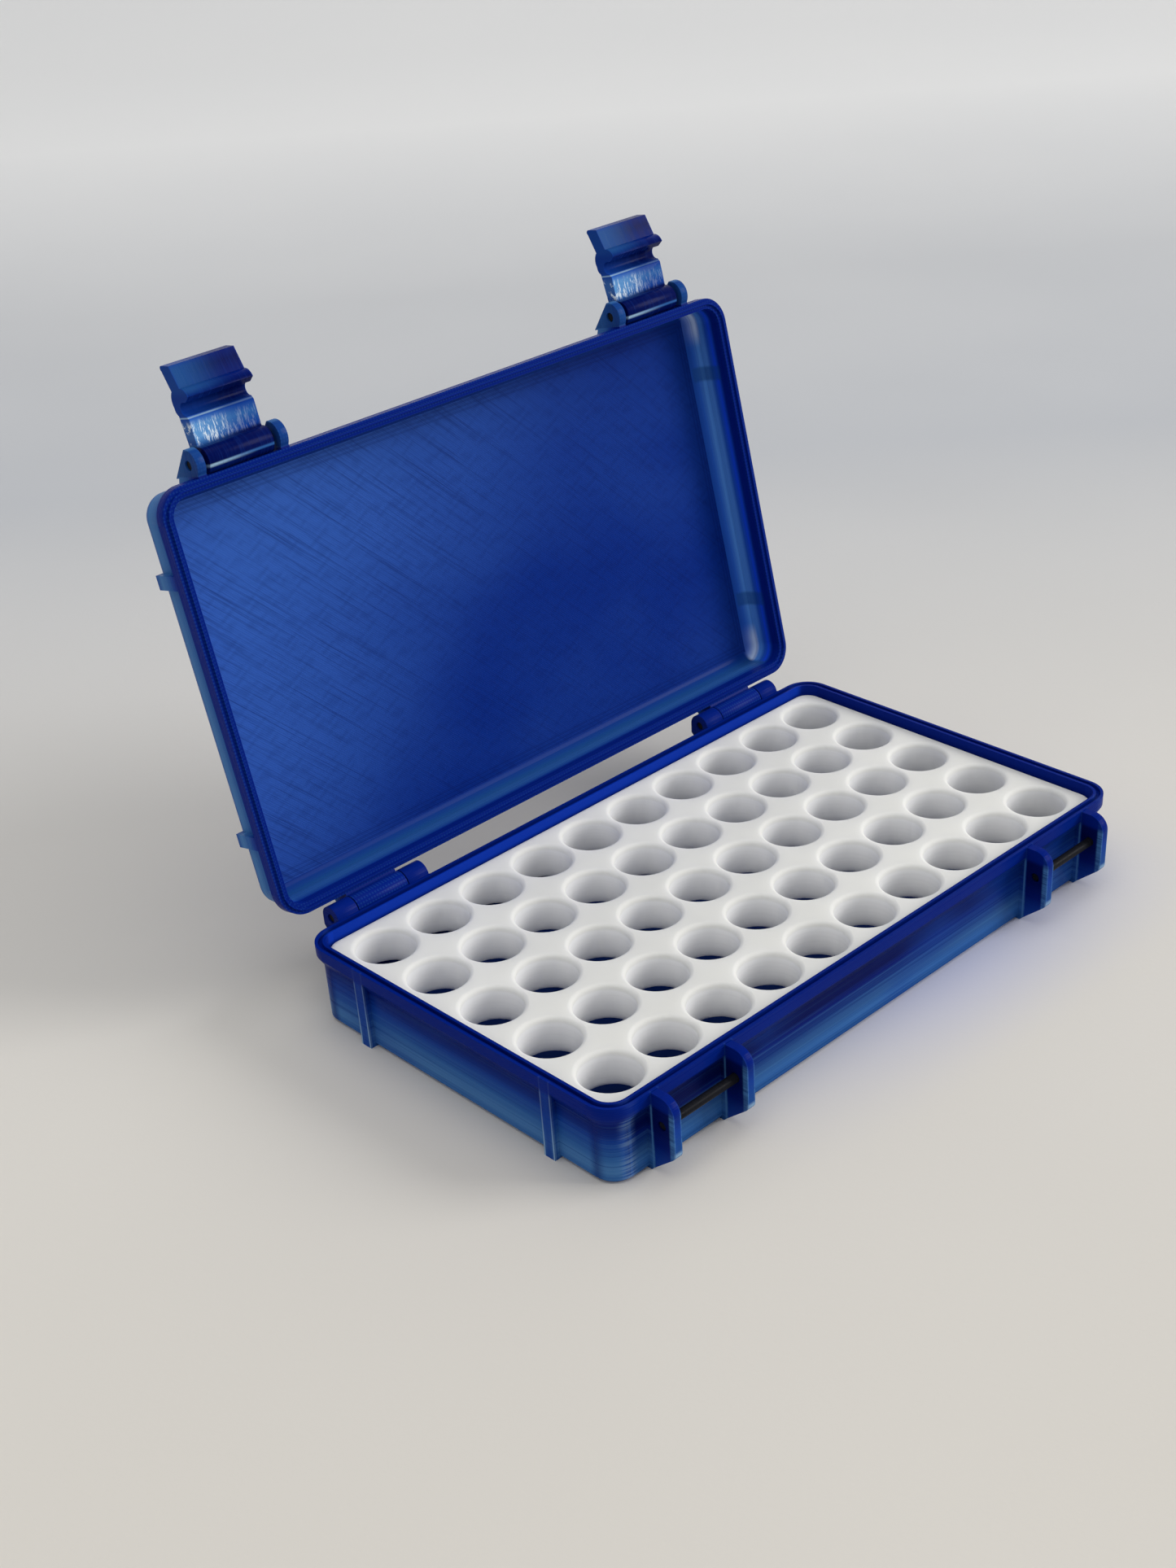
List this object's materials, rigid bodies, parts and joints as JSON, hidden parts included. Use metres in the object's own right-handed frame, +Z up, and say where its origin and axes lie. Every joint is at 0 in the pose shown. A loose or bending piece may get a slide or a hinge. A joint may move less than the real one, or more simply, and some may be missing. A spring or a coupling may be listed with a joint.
{
  "type": "cryogenic storage box",
  "caption": "Open hinged storage box for cryogenic tubes in blue printed plastic, with a white lift-out tube rack and latches on its lid",
  "frame": {"origin": "Centre of the base's flat underside", "axes": "+X along the hinges, the longest side, towards the right end seen from the latch side; +Z up; -Y is the latch side and +Y the hinge side"},
  "size_m": [0.1594, 0.136, 0.1297],
  "materials": {
    "printed_blue_base": "printed layers, slightly translucent",
    "printed_blue_lid": "printed layers, slightly translucent",
    "printed_blue_latch": "printed, glossy, slightly translucent",
    "printed_white": "matt printed plastic",
    "dark_pin": "dark, faint drawn striations"
  },
  "bodies": {
    "base": {"base_shell": "printed_blue_base", "catch_pin_left": "dark_pin", "catch_pin_right": "dark_pin", "hinge_pin_left": "dark_pin", "hinge_pin_right": "dark_pin"},
    "lid": {"lid_shell": "printed_blue_lid", "latch_pin_left": "dark_pin", "latch_pin_right": "dark_pin"},
    "latch_left": {"latch_left": "printed_blue_latch"},
    "latch_right": {"latch_right": "printed_blue_latch"},
    "rack": {"tube_rack": "printed_white"}
  },
  "joints": [
    {"name": "lid_hinge", "type": "hinge", "parent": "base", "child": "lid", "pos_m": [0, 0.049, 0.01805], "axis": [1, 0, 0], "range_deg": [0, 103]},
    {"name": "latch_left_pivot", "type": "hinge", "parent": "lid", "child": "latch_left", "pos_m": [-0.058, 0.07495, 0.11202], "axis": [1, 0, 0], "range_deg": [-75, 95.06]},
    {"name": "latch_right_pivot", "type": "hinge", "parent": "lid", "child": "latch_right", "pos_m": [0.058, 0.07495, 0.11202], "axis": [1, 0, 0], "range_deg": [-75, 95.06]},
    {"name": "rack_lift", "type": "slide", "parent": "base", "child": "rack", "axis": [0, 0, 1], "range_m": [0, 0.01]}
  ]
}
